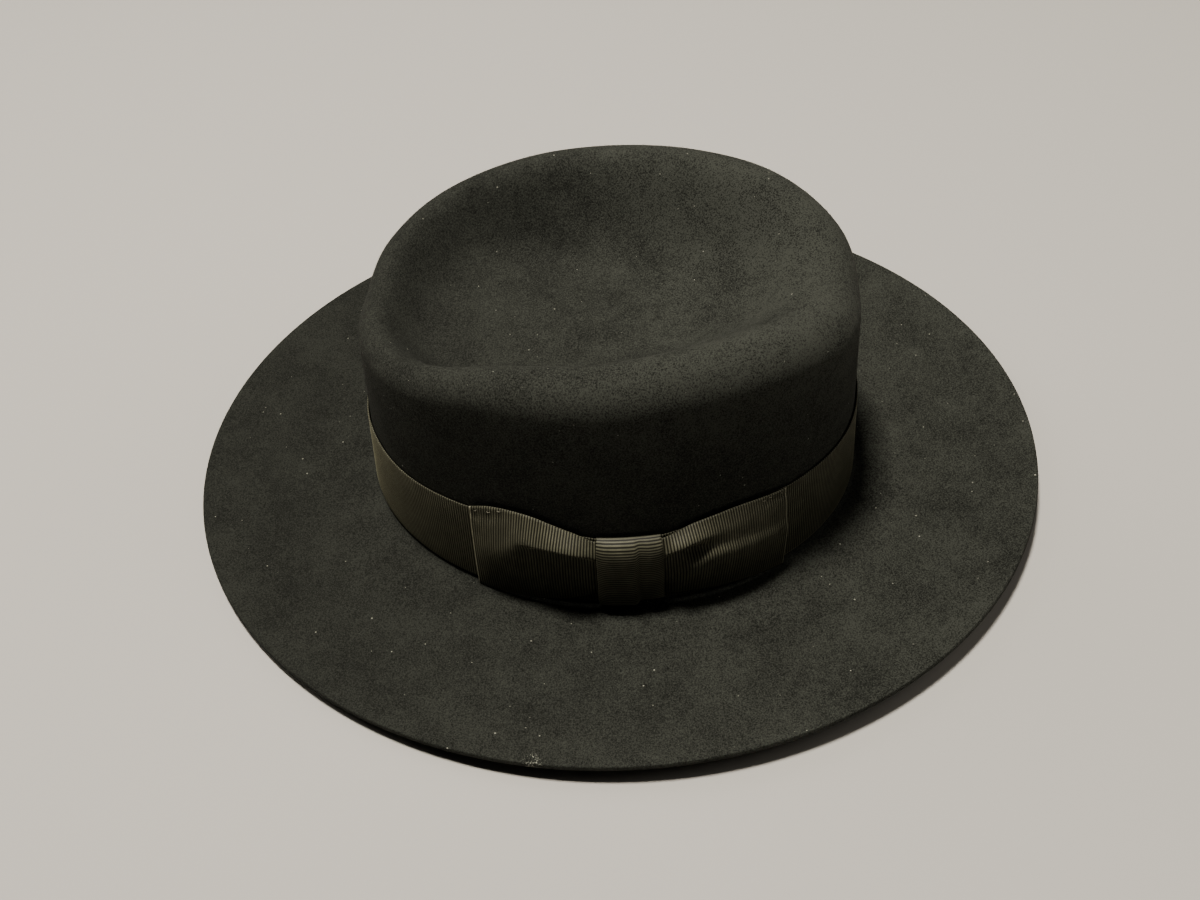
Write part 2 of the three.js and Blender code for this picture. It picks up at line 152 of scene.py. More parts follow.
@dataclass(frozen=True)
class HatForm:
    """Shape of the felt hat that every piece follows."""

    felt: float = 2.2 * MM
    ribbon: float = 0.8 * MM
    cloth: float = 0.4 * MM
    seat: float = 0.3 * MM
    leather: float = 1.0 * MM
    rib_pitch: float = 1.08 * MM
    break_radius: float = 2.8 * MM
    rest_ring: float = 17 * MM
    lift_front: float = 1.6 * MM
    lift_side: float = 6.9 * MM
    lift_back: float = 10 * MM
    lift_power: float = 1.6
    wall_lean: float = 8 * MM
    rim_radius: float = 14 * MM
    dent_roll: float = 30 * MM
    dent_floor: float = 79 * MM
    dent_rise: float = 6 * MM
    dent_centre: float = 6 * MM
    rim_sections: tuple[RimSection, ...] = (
        RimSection(0.827, 0.99, 0.5, 0.43),
        RimSection(0.845, 0.51, 0.51, 0.43),
        RimSection(0.89, 0.15, 0.61, 0.5),
        RimSection(0.959, 0.55, 0.82, 0.64),
        RimSection(0.983, 0.58, 0.93, 0.72),
        RimSection(1, 0.65, 0.93, 0.8),
        RimSection(0.994, 0.44, 0.93, 0.88),
        RimSection(0.947, 0.24, 0.96, 0.97),
        RimSection(0.91, 0.51, 1, 1),
    )

    @property
    def band_foot(self) -> float:
        """Height of the band's lower edge."""
        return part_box("ribbon_band")[0].z

    @property
    def band_width(self) -> float:
        """Width of the band's ribbon."""
        low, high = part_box("ribbon_band")
        return high.z - low.z

    @property
    def foot_length(self) -> float:
        """Half length of the crown's foot."""
        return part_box("ribbon_band")[1].y - self.seat - self.ribbon

    @property
    def foot_width(self) -> float:
        """Half width of the crown's foot."""
        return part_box("ribbon_band")[1].x - self.seat - self.ribbon

    @property
    def crown_height(self) -> float:
        """Height of the rim's highest point."""
        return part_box("felt_body")[1].z

    @property
    def reach_ends(self) -> float:
        """Brim width at the front and back."""
        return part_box("felt_body")[1].y - self.foot_length

    @property
    def reach_side(self) -> float:
        """Brim width at the sides."""
        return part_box("felt_body")[1].x - self.foot_width

    def rim(self, angle: np.ndarray) -> dict[str, np.ndarray]:
        """Rim of the crown at angles from +X.

        Args:
            angle: Angles in radians.

        Returns:
            Arrays named top, lean, radius, roll and inset, in metres.
        """
        last = len(self.rim_sections) - 1
        place = (np.asarray(angle, float) + QUARTER) / math.pi * last
        rows = np.floor(place).astype(int)[..., None] + np.arange(-1, 3)
        turned = np.mod(rows, 2 * last)
        mirrored = np.where(turned > last, 2 * last - turned, turned)
        table = np.array(self.rim_sections)[mirrored]
        sizes = (self.crown_height, self.wall_lean, self.rim_radius, self.dent_roll)
        names = ("top", "lean", "radius", "roll")
        read = {
            name: size * smooth_between(rows.astype(float), table[..., i], place)
            for i, (name, size) in enumerate(zip(names, sizes))
        }
        read["inset"] = read["lean"] + read["radius"]
        return read

    def foot_point(self, angle: np.ndarray, out: np.ndarray, z: np.ndarray) -> np.ndarray:
        """Point beyond the crown's foot oval.

        Args:
            angle: Angles from +X.
            out: Distances measured outwards from the oval.
            z: Heights.

        Returns:
            Points along the last axis.
        """
        x = (self.foot_width + out) * np.cos(angle)
        y = (self.foot_length + out) * np.sin(angle)
        return np.stack(np.broadcast_arrays(x, y, z), axis=-1)

    def wall_point(self, angle: np.ndarray, off: np.ndarray, z: np.ndarray) -> np.ndarray:
        """Point standing off the crown's leaning wall.

        Args:
            angle: Angles from +X.
            off: Distances off the wall.
            z: Heights.

        Returns:
            Points along the last axis.
        """
        rim = self.rim(angle)
        share = (z - self.band_foot) / (rim["top"] - rim["radius"] - self.band_foot)
        return self.foot_point(angle, off - rim["lean"] * np.maximum(0, share), z)

    def floor_height(self, y: np.ndarray) -> np.ndarray:
        """Height of the dent's floor at a distance behind the middle."""
        return self.dent_floor + self.dent_rise * y / self.foot_length

    def angle_behind(self, y: np.ndarray) -> np.ndarray:
        """Angle at which the wall of the +X side lies a distance behind the middle."""
        return np.arcsin(y / self.foot_length)


FORM = HatForm()


def mesh_object(name: str, points: np.ndarray, faces: list) -> bpy.types.Object:
    """New mesh object in the scene, smooth shaded.

    Args:
        name: Name of the piece.
        points: Vertices, one row each.
        faces: Vertex numbers of each face.

    Returns:
        The object, at the origin.
    """
    mesh = bpy.data.meshes.new(name)
    mesh.from_pydata(points.reshape(-1, 3).tolist(), [], faces)
    mesh.update()
    mesh.shade_smooth()
    made = bpy.data.objects.new(name, mesh)
    bpy.context.scene.collection.objects.link(made)
    return made


def walked(track: np.ndarray) -> np.ndarray:
    """Distance walked from the start to each point of a track."""
    return np.concatenate([[0], np.cumsum(np.linalg.norm(np.diff(track, axis=0), axis=1))])


def grid_faces(columns: int, rows: int, wrap: bool = False, first: int = 0) -> list:
    """Quads of a grid of vertices that are numbered column by column.

    Args:
        columns: Columns, anticlockwise seen from outside with the rows running up.
        rows: Rows in a column.
        wrap: Whether the last column meets the first.
        first: Number of the first vertex.

    Returns:
        One tuple of four vertex numbers for each quad.
    """
    here = np.arange(columns if wrap else columns - 1)
    beyond = (here + 1) % columns
    up = np.arange(rows - 1)
    a = first + here[:, None] * rows + up
    b = first + beyond[:, None] * rows + up
    return np.stack([a, b, b + 1, a + 1], axis=-1).reshape(-1, 4).tolist()


class NodeGraph:
    """Short way to build a node tree."""

    def __init__(self, tree: bpy.types.NodeTree) -> None:
        """Takes an empty tree."""
        self.tree = tree

    def add(self, kind: str, inputs: dict | None = None, **settings) -> bpy.types.Node:
        """Adds a node.

        Args:
            kind: Node type.
            inputs: Value or output socket for each input, by name or number.
            settings: Properties of the node.

        Returns:
            The node.
        """
        node = self.tree.nodes.new(kind)
        for name, value in settings.items():
            setattr(node, name, value)
        for key, value in (inputs or {}).items():
            socket = node.inputs[key]
            if isinstance(value, bpy.types.NodeSocket):
                self.tree.links.new(value, socket)
            else:
                socket.default_value = value
        return node

    def math(self, operation: str, a: object, b: object = 0.0) -> bpy.types.NodeSocket:
        """Result of a math node on two numbers or sockets."""
        made = self.add("ShaderNodeMath", {0: a, 1: b}, operation=operation)
        return made.outputs[0]

    def total(self, shares: tuple) -> bpy.types.NodeSocket:
        """Sum of sockets, each times its share."""
        parts = [self.math("MULTIPLY", socket, share) for socket, share in shares]
        whole = parts[0]
        for part in parts[1:]:
            whole = self.math("ADD", whole, part)
        return whole

    def mix(self, share: object, a: object, b: object) -> bpy.types.NodeSocket:
        """Colour between two colours, each given as three numbers or as a socket."""
        node = self.add("ShaderNodeMix", data_type="RGBA")
        for socket, value in ((node.inputs[0], share), (node.inputs[6], a), (node.inputs[7], b)):
            if isinstance(value, bpy.types.NodeSocket):
                self.tree.links.new(value, socket)
            elif isinstance(value, tuple):
                socket.default_value = (*value, 1)
            else:
                socket.default_value = value
        return node.outputs[2]

    def product(self, *factors: object) -> bpy.types.NodeSocket:
        """Product of sockets and numbers."""
        whole = factors[0]
        for factor in factors[1:]:
            whole = self.math("MULTIPLY", whole, factor)
        return whole

    def spread(self, value: object, span: tuple, onto: tuple = (0.0, 1.0)) -> bpy.types.NodeSocket:
        """Value moved from one range to another, smoothly and held at the ends."""
        inputs = {"Value": value, "From Min": span[0], "From Max": span[1]}
        inputs.update({"To Min": onto[0], "To Max": onto[1]})
        made = self.add("ShaderNodeMapRange", inputs, interpolation_type="SMOOTHSTEP")
        return made.outputs["Result"]

    def noise(self, place: object, scale: float, detail: float = 2.0) -> bpy.types.NodeSocket:
        """Height of a noise texture of that many bumps to the metre."""
        inputs = {"Vector": place, "Scale": scale, "Detail": detail, "Roughness": 0.6}
        return self.add("ShaderNodeTexNoise", inputs).outputs["Fac"]

    def dress(self, shader: bpy.types.Node, colour: bpy.types.NodeSocket, values: dict) -> None:
        """Links a shader's colour, and sets its even values on its own sockets."""
        self.tree.links.new(colour, shader.inputs["Base Color"])
        for name, value in values.items():
            shader.inputs[name].default_value = value

    def roughen(
        self, shader: bpy.types.Node, height: object, depth: float, strength: float = 1.0
    ) -> None:
        """Tilts a shader's normal by a height."""
        inputs = {"Height": height, "Distance": depth, "Strength": strength}
        bump = self.add("ShaderNodeBump", inputs)
        self.tree.links.new(bump.outputs["Normal"], shader.inputs["Normal"])


class PieceTree(NodeGraph):
    """Geometry Nodes tree of a piece: named inputs, and a plain dressed mesh at its end."""

    def __init__(self, name: str, inputs: dict[str, str]) -> None:
        """Opens the tree.

        Args:
            name: Name of the tree.
            inputs: Socket type of each named input between the geometry and the material.
        """
        super().__init__(bpy.data.node_groups.new(name, "GeometryNodeTree"))
        face = self.tree.interface
        for label, kind in {"Geometry": "Geometry", **inputs, "Material": "Material"}.items():
            face.new_socket(label, in_out="INPUT", socket_type=f"NodeSocket{kind}")
        face.new_socket("Geometry", in_out="OUTPUT", socket_type="NodeSocketGeometry")
        self.start = self.add("NodeGroupInput").outputs

    def attribute(self, name: str, kind: str = "FLOAT") -> bpy.types.NodeSocket:
        """Value of a named attribute at each point."""
        return self.add("GeometryNodeInputNamedAttribute", {"Name": name}, data_type=kind).outputs[0]

    def close(self, geometry: bpy.types.NodeSocket) -> bpy.types.NodeTree:
        """Ends the tree in Realize Instances and Set Material.

        Args:
            geometry: What the tree has made.

        Returns:
            The finished tree.
        """
        whole = self.add("GeometryNodeRealizeInstances", {"Geometry": geometry})
        inputs = {"Geometry": whole.outputs[0], "Material": self.start["Material"]}
        dressed = self.add("GeometryNodeSetMaterial", inputs)
        self.add("NodeGroupOutput", {"Geometry": dressed.outputs[0]})
        return self.tree


@dataclass(frozen=True)
class Finish:
    """A material with its own nodes. Each kind of finish adds its pattern in dress."""

    name: str

    def make(self) -> bpy.types.Material:
        """Builds the material.

        Returns:
            The material, with a Principled shader.
        """
        material = bpy.data.materials.new(self.name)
        material.use_nodes = True
        graph = NodeGraph(material.node_tree)
        self.dress(graph, material.node_tree.nodes["Principled BSDF"])
        return material

    def dress(self, graph: NodeGraph, shader: bpy.types.Node) -> None:
        """Adds the pattern. A plain finish has none."""


@dataclass(frozen=True)
class FeltFinish(Finish):
    """Matte black brush-finished fur felt: cloudy nap, short fuzz, light specks, one scuff and painted
    light.
    """

    dark: tuple[float, float, float] = (0.0135, 0.0142, 0.0125)
    light: tuple[float, float, float] = (0.061, 0.0645, 0.056)
    lint: tuple[float, float, float] = (0.3, 0.3, 0.26)
    sheen: float = 0.01
    sheen_roughness: float = 0.6
    sheen_tint: tuple[float, float, float] = (0.74, 0.74, 0.66)
    roughness: float = 0.95
    specular: float = 0.2
    cloud_scale: float = 55.0
    brush_scale: float = 260.0
    fibre_scale: float = 1500.0
    fuzz_scale: float = 2900.0
    shares: tuple[float, ...] = (0.15, 0.09, 0.4, 0.36)
    contrast: tuple[float, float] = (0.38, 0.63)
    # The sizes from here to gain_reach paint light into the colour: a lighter crown top, less so at the
    # front, and painted shade at the front turning to painted light at the back.
    top_from: float = 70 * MM
    top_to: float = 100 * MM
    painted_top_gain: float = 0.64
    top_front_share: float = 0.22
    top_back_from: float = 60 * MM
    painted_front_gain: float = 0.74
    painted_back_gain: float = 1.2
    gain_reach: float = 140 * MM
    lint_cell: float = 4.0 * MM
    lint_share: float = 0.4
    lint_size: float = 0.2 * MM
    lint_fade: tuple[float, float] = (0.3, 1.0)
    scuff_place: tuple[float, float, float] = (0.1605, -0.0172, 0.009)
    scuff_size: float = 4.5 * MM
    scuff_core: float = 0.4
    scuff_fibres: tuple[float, float] = (0.56, 0.64)
    relief_shares: tuple[float, ...] = (0.6, 0.8, 0.4)
    bump: float = 0.22 * MM

    def dress(self, graph: NodeGraph, shader: bpy.types.Node) -> None:
        """Adds cloudy colour, light specks, the scuff, fibre relief and painted light: a lighter crown
        top, and a tone painted darker at the front and lighter at the back.
        """
        place = graph.add("ShaderNodeTexCoord").outputs["Object"]
        cloud = graph.noise(place, self.cloud_scale, 4.0)
        brush = graph.noise(place, self.brush_scale, 3.0)
        fibre = graph.noise(place, self.fibre_scale)
        fuzz = graph.noise(place, self.fuzz_scale)
        pattern = graph.total(tuple(zip((cloud, brush, fibre, fuzz), self.shares)))
        split = graph.add("ShaderNodeSeparateXYZ", {"Vector": place}).outputs
        # Painted light: the crown's top is made lighter, less so toward the front.
        behind = (-self.top_back_from, self.top_back_from)
        raised = graph.product(
            graph.spread(split["Z"], (self.top_from, self.top_to), (0.0, self.painted_top_gain)),
            graph.spread(split["Y"], behind, (self.top_front_share, 1.0)),
        )
        painted_top_light = graph.math("ADD", 1.0, raised)
        # Painted shade at the front, painted light at the back.
        ends = (-self.gain_reach, self.gain_reach)
        painted_front_to_back_light = graph.spread(split["Y"], ends, (self.painted_front_gain, self.painted_back_gain))
        share = graph.product(graph.spread(pattern, self.contrast), painted_top_light, painted_front_to_back_light)
        black = graph.mix(share, self.dark, self.light)
        dusty = graph.mix(self.specks(graph, place), black, self.lint)
        colour = graph.mix(self.scuff(graph, place, fibre), dusty, self.lint)
        values = {
            "Roughness": self.roughness,
            "Specular IOR Level": self.specular,
            "Sheen Weight": self.sheen,
            "Sheen Roughness": self.sheen_roughness,
            "Sheen Tint": (*self.sheen_tint, 1),
        }
        graph.dress(shader, colour, values)
        relief = graph.total(tuple(zip((fuzz, fibre, brush), self.relief_shares)))
        graph.roughen(shader, relief, self.bump)

    def specks(self, graph: NodeGraph, place: object) -> bpy.types.NodeSocket:
        """Share of lint colour: a small round speck in some of the cells of a grid."""
        inputs = {"Vector": place, "Scale": 1 / self.lint_cell}
        cells = graph.add("ShaderNodeTexVoronoi", inputs)
        draw = graph.add("ShaderNodeSeparateColor", {"Color": cells.outputs["Color"]}).outputs
        size = graph.product(draw["Green"], 2 * self.lint_size / self.lint_cell)
        inside = graph.math("LESS_THAN", cells.outputs["Distance"], size)
        chosen = graph.math("LESS_THAN", draw["Red"], self.lint_share)
        return graph.product(inside, chosen, graph.spread(draw["Blue"], (0.0, 1.0), self.lint_fade))

    def scuff(self, graph: NodeGraph, place: object, fibre: object) -> bpy.types.NodeSocket:
        """Share of lint colour in the small scuff near the brim's edge."""
        offset = graph.add("ShaderNodeVectorMath", {0: place, 1: self.scuff_place}, operation="DISTANCE")
        reach = (self.scuff_core * self.scuff_size, self.scuff_size)
        near = graph.spread(offset.outputs["Value"], reach, (1.0, 0.0))
        return graph.product(near, graph.spread(fibre, self.scuff_fibres))


@dataclass(frozen=True)
class StrandFinish(Finish):
    """Loose hairs or twisted thread, in tones from a dark one to a pale one."""

    dark: tuple[float, float, float]
    light: tuple[float, float, float]
    scale: float
    span: tuple[float, float]
    roughness: float

    def dress(self, graph: NodeGraph, shader: bpy.types.Node) -> None:
        """Adds a tone that changes from strand to strand."""
        place = graph.add("ShaderNodeTexCoord").outputs["Object"]
        share = graph.spread(graph.noise(place, self.scale), self.span)
        graph.dress(shader, graph.mix(share, self.dark, self.light), {"Roughness": self.roughness})


LOOSE_HAIR = StrandFinish(
    name="loose_hair",
    dark=(0.012, 0.0125, 0.011),
    light=(0.16, 0.165, 0.145),
    scale=700.0,
    span=(0.45, 0.72),
    roughness=0.9,
)
TACK_THREAD = StrandFinish(
    name="tack_thread",
    dark=(0.16, 0.15, 0.12),
    light=(0.42, 0.4, 0.33),
    scale=4200.0,
    span=(0.35, 0.65),
    roughness=0.7,
)


@dataclass(frozen=True)
class RibbonFinish(Finish):
    """Olive-black grosgrain. Its UV map is in metres: along the ribbon, then across it."""

    # The valley colour is painted shade between the ribs; the ridge colour is the ribbon's own tone with
    # painted highlight on the rib tops.
    painted_valley_shade: tuple[float, float, float] = (0.018, 0.0176, 0.0127)
    ridge_tone_and_highlight: tuple[float, float, float] = (0.19, 0.187, 0.136)
    # Colour of the painted highlight along the ribbon's ends.
    painted_end_highlight: tuple[float, float, float] = (0.46, 0.445, 0.35)
    rib: tuple[float, float] = (0.42, 0.98)
    wear_scale: float = 160.0
    wear_and_end_highlight: tuple[float, float] = (0.7, 1.0)
    thread_scale: float = 5200.0
    thread: tuple[float, float] = (0.7, 1.0)
    roughness: float = 0.5
    specular: float = 0.28
    sheen: float = 0.3
    sheen_roughness: float = 0.4
    sheen_tint: tuple[float, float, float] = (0.5, 0.48, 0.34)
    bump: float = 0.05 * MM

    def dress(self, graph: NodeGraph, shader: bpy.types.Node) -> None:
        """Adds painted shade in the valleys between the ribs and painted highlight on their tops, fine
        threads along them and a painted highlight along the ends.
        """
        uv = graph.add("ShaderNodeUVMap", uv_map="cloth").outputs["UV"]
        along = graph.add("ShaderNodeSeparateXYZ", {"Vector": uv}).outputs["X"]
        phase = graph.product(along, math.pi / FORM.rib_pitch)
        rib = graph.math("ABSOLUTE", graph.math("SINE", phase))
        place = graph.add("ShaderNodeTexCoord").outputs["Object"]
        wear_and_end_highlight = graph.noise(place, self.wear_scale, 3.0)
        thread = graph.noise(place, self.thread_scale)
        # Share of the ridge colour: painted highlight on the rib tops and painted shade in the valleys,
        # with a random tone and fine threads.
        share = graph.product(
            graph.spread(rib, self.rib),
            graph.spread(wear_and_end_highlight, NOISE_SPAN, self.wear_and_end_highlight),
            graph.spread(thread, NOISE_SPAN, self.thread),
        )
        # Painted highlight along the ribbon's ends.
        painted_end_highlight = graph.add("ShaderNodeAttribute", attribute_name="painted_end_highlight").outputs["Fac"]
        colour = graph.mix(painted_end_highlight, graph.mix(share, self.painted_valley_shade, self.ridge_tone_and_highlight), self.painted_end_highlight)
        values = {
            "Roughness": self.roughness,
            "Specular IOR Level": self.specular,
            "Sheen Weight": self.sheen,
            "Sheen Roughness": self.sheen_roughness,
            "Sheen Tint": (*self.sheen_tint, 1),
        }
        graph.dress(shader, colour, values)
        graph.roughen(shader, thread, self.bump)


@dataclass(frozen=True)
class LeatherFinish(Finish):
    """Smooth dark leather with a fine grain."""

    dark: tuple[float, float, float] = (0.035, 0.02, 0.013)
    light: tuple[float, float, float] = (0.06, 0.036, 0.024)
    roughness: float = 0.5
    tone_scale: float = 60.0
    grain_scale: float = 900.0
    bump: float = 0.06 * MM
    bump_strength: float = 0.6

    def dress(self, graph: NodeGraph, shader: bpy.types.Node) -> None:
        """Adds mottled colour and grain."""
        place = graph.add("ShaderNodeTexCoord").outputs["Object"]
        tone = graph.spread(graph.noise(place, self.tone_scale, 4.0), NOISE_SPAN)
        graph.dress(shader, graph.mix(tone, self.dark, self.light), {"Roughness": self.roughness})
        cells = graph.add("ShaderNodeTexVoronoi", {"Vector": place, "Scale": self.grain_scale})
        graph.roughen(shader, cells.outputs["Distance"], self.bump, self.bump_strength)


@dataclass
class FeltBody:
    """Crown and brim: two skins of one felt wall with a raw cut edge."""

    material: bpy.types.Material
    around: int = 360
    brim_steps: int = 22
    ring_steps: int = 5
    break_steps: int = 7
    wall_steps: int = 14
    rim_steps: int = 14
    dent_steps: int = 30
    dent_spacing: float = 1.15
    edge_rounding: float = 0.5 * MM
    edge_steps: int = 4
    nap_from: float = 1.9

    def stations(self, angle: np.ndarray) -> tuple[np.ndarray, np.ndarray]:
        """Distance out from the crest and height of each station of the outer skin.

        Args:
            angle: Angles from +X.

        Returns:
            Two arrays with a row for each angle, from the brim's edge to the dent.
        """
        rim = FORM.rim(angle)
        side = np.cos(angle) ** 2
        reach = FORM.reach_ends + (FORM.reach_side - FORM.reach_ends) * side
        ends = (FORM.lift_front + FORM.lift_back) / 2
        tip = (FORM.lift_back - FORM.lift_front) / 2
        lift = ends + (FORM.lift_side - ends) * side + tip * np.sin(angle)
        ring_end = rim["inset"] + FORM.break_radius + FORM.rest_ring
        edge = rim["inset"] + reach
        out, z = [], []
        for q in np.linspace(1, 0, self.brim_steps, endpoint=False):
            out.append(ring_end + (edge - ring_end) * q)
            z.append(FORM.felt + lift * q**FORM.lift_power)
        for q in np.linspace(1, 0, self.ring_steps, endpoint=False):
            out.append(rim["inset"] + FORM.break_radius + FORM.rest_ring * q)
            z.append(np.full_like(angle, FORM.felt))
        wall_height = rim["top"] - rim["radius"] - FORM.band_foot
        wall_tilt = np.arctan(rim["lean"] / wall_height)
        for tilt in np.linspace(QUARTER, 0, self.break_steps + 1):
            out.append(rim["inset"] + FORM.break_radius * (1 - math.cos(tilt)))
            z.append(np.full_like(angle, FORM.band_foot - FORM.break_radius * math.sin(tilt)))
        for share in np.linspace(0, 1, self.wall_steps + 1)[1:-1]:
            out.append(rim["inset"] - rim["lean"] * share)
            z.append(FORM.band_foot + wall_height * share)
        for share in np.linspace(0, 1, self.rim_steps + 1):
            tilt = wall_tilt + (QUARTER - wall_tilt) * share
            out.append(rim["radius"] * np.cos(tilt))
            z.append(rim["top"] - rim["radius"] * (1 - np.sin(tilt)))
        crest = FORM.foot_point(angle, -rim["inset"], 0 * angle)
        length = np.hypot(crest[:, 0], crest[:, 1] - FORM.dent_centre)
        for share in (np.arange(1, self.dent_steps) / self.dent_steps) ** self.dent_spacing:
            floor = FORM.floor_height(crest[:, 1] + (FORM.dent_centre - crest[:, 1]) * share)
            hold = (1 - share**4) * np.exp(-((share * length / rim["roll"]) ** 2))
            out.append(-share * length)
            z.append(floor + (rim["top"] - floor) * hold)
        return np.stack(out, axis=1), np.stack(z, axis=1)

    def place(self, angle: np.ndarray, out: np.ndarray, z: np.ndarray) -> np.ndarray:
        """Points of stations: off the foot oval outside the crest, inside it on the way in.

        Args:
            angle: Angles from +X.
            out: Distances out from the crest, a row for each angle.
            z: Heights.

        Returns:
            Points along the last axis.
        """
        rim = FORM.rim(angle)
        around = angle[:, None] + 0 * out
        inset = rim["inset"][:, None] + 0 * out
        outside = FORM.foot_point(around, out - inset, z)
        crest = FORM.foot_point(around, -inset, z)
        centre = np.stack([0 * z, 0 * z + FORM.dent_centre, z], axis=-1)
        length = np.linalg.norm(crest - centre, axis=-1, keepdims=True)
        inside = crest + (centre - crest) * (-out[..., None] / length)
        return np.where(out[..., None] >= 0, outside, inside)

    def build(self) -> bpy.types.Object:
        """Builds the felt.

        Returns:
            The piece.
        """
        angle = (np.arange(self.around) + 0.5) * 2 * math.pi / self.around
        out, z = self.stations(angle)
        run = np.gradient(out, axis=1)
        rise = np.gradient(z, axis=1)
        norm = np.hypot(run, rise)
        outwards, upwards = rise / norm, -run / norm
        outer = self.place(angle, out, z)
        inner = self.place(angle, out - FORM.felt * outwards, z - FORM.felt * upwards)
        rounded = self.edge(outer, inner)
        skin = np.concatenate([inner[:, ::-1], rounded, outer], axis=1)
        rows = skin.shape[1]
        floor = float(FORM.floor_height(np.array(FORM.dent_centre)))
        poles = np.array([[0, FORM.dent_centre, floor - FORM.felt], [0, FORM.dent_centre, floor]])
        points = np.concatenate([skin.reshape(-1, 3), poles])
        faces = grid_faces(self.around, rows, wrap=True)
        count = self.around * rows
        for j in range(self.around):
            beyond = (j + 1) % self.around
            faces.append((beyond * rows, j * rows, count))
            faces.append((j * rows + rows - 1, beyond * rows + rows - 1, count + 1))
        made = mesh_object("fur_felt", points, faces)
        made.data.materials.append(self.material)
        self.mark(made, rows, outer.shape[1])
        return made

    def mark(self, made: bpy.types.Object, rows: int, shown: int) -> None:
        """Writes the attribute of the outer skin on which loose hairs lie.

        Args:
            made: The felt.
            rows: Rows of its skin.
            shown: Rows of the outer skin, the last ones.
        """
        points = np.zeros(3 * len(made.data.vertices), np.float32)
        made.data.vertices.foreach_get("co", points)
        height = points.reshape(-1, 3)[: self.around * rows, 2].reshape(self.around, rows)
        first = rows - shown
        row = np.arange(rows)
        brim = (row >= first) & (row < first + self.brim_steps)
        high = height > FORM.band_foot + self.nap_from * FORM.band_width
        crown = (row >= first + self.brim_steps) & high
        nap = np.zeros(len(made.data.vertices), np.float32)
        nap[: self.around * rows] = (brim | crown).astype(np.float32).reshape(-1)
        attribute = made.data.attributes.new("nap", "FLOAT", "POINT")
        attribute.data.foreach_set("value", nap)

    def edge(self, outer: np.ndarray, inner: np.ndarray) -> np.ndarray:
        """Rounds the raw edge between the two skins, and draws both skins back for it.

        Args:
            outer: Points of the outer skin, changed at the edge.
            inner: Points of the inner skin, changed at the edge.

        Returns:
            The points between them, from the inner skin to the outer.
        """
        top, low = outer[:, 0].copy(), inner[:, 0].copy()
        back = outer[:, 1] - top
        back = back / np.linalg.norm(back, axis=1, keepdims=True)
        down = (low - top) / np.linalg.norm(low - top, axis=1, keepdims=True)
        size = self.edge_rounding
        outer[:, 0] = top + back * size
        inner[:, 0] = low + back * size
        turns = np.linspace(0, QUARTER, self.edge_steps + 1)[1:]
        lower = [low + back * size * (1 - math.sin(t)) - down * size * (1 - math.cos(t)) for t in turns]
        upper = [top + back * size * (1 - math.sin(t)) + down * size * (1 - math.cos(t)) for t in turns]
        return np.stack(lower + upper[::-1], axis=1)


@dataclass
class RibRelief:
    """Geometry Nodes that raise the ribs of a grosgrain ribbon along its normals."""

    material: bpy.types.Material
    depth: float

    def tree(self) -> bpy.types.NodeTree:
        """Builds the tree once.

        Returns:
            The tree, with inputs for the ribs' pitch and depth and for the material.
        """
        found = bpy.data.node_groups.get("rib_relief")
        if found:
            return found
        graph = PieceTree("rib_relief", {"Pitch": "Float", "Depth": "Float"})
        start = graph.start
        along, raised = graph.attribute("along"), graph.attribute("raised")
        phase = graph.product(graph.math("DIVIDE", along, start["Pitch"]), math.pi)
        rib = graph.math("ABSOLUTE", graph.math("SINE", phase))
        height = graph.product(rib, start["Depth"], raised)
        normal = graph.add("GeometryNodeInputNormal").outputs[0]
        offset = graph.add("ShaderNodeVectorMath", {0: normal, "Scale": height}, operation="SCALE")
        inputs = {"Geometry": start["Geometry"], "Offset": offset.outputs[0]}
        return graph.close(graph.add("GeometryNodeSetPosition", inputs).outputs[0])

    def apply(self, piece: bpy.types.Object) -> bpy.types.Object:
        """Raises the ribs of a piece that has the attributes along and raised.

        Args:
            piece: Ribbon, changed to a plain mesh with ribs.

        Returns:
            The piece.
        """
        modifier = piece.modifiers.new("ribs", "NODES")
        modifier.node_group = self.tree()
        values = {"Pitch": FORM.rib_pitch, "Depth": self.depth, "Material": self.material}
        set_inputs(modifier, values)
        return realized(piece)


def set_inputs(modifier: bpy.types.Modifier, values: dict[str, object]) -> None:
    """Sets the inputs of a Geometry Nodes modifier.

    Args:
        modifier: The modifier.
        values: Value for each input's name.
    """
    for item in modifier.node_group.interface.items_tree:
        if item.item_type == "SOCKET" and item.in_out == "INPUT" and item.name in values:
            modifier[item.identifier] = values[item.name]


def realized(piece: bpy.types.Object) -> bpy.types.Object:
    """Turns a piece with modifiers into a plain mesh of the same name.

    Args:
        piece: The piece.

    Returns:
        The piece, with its evaluated mesh and no modifiers.
    """
    bpy.context.view_layer.update()
    evaluated = piece.evaluated_get(bpy.context.evaluated_depsgraph_get())
    mesh = bpy.data.meshes.new_from_object(evaluated)
    piece.modifiers.clear()
    old = piece.data
    piece.data = mesh
    bpy.data.meshes.remove(old)
    mesh.name = piece.name
    return piece


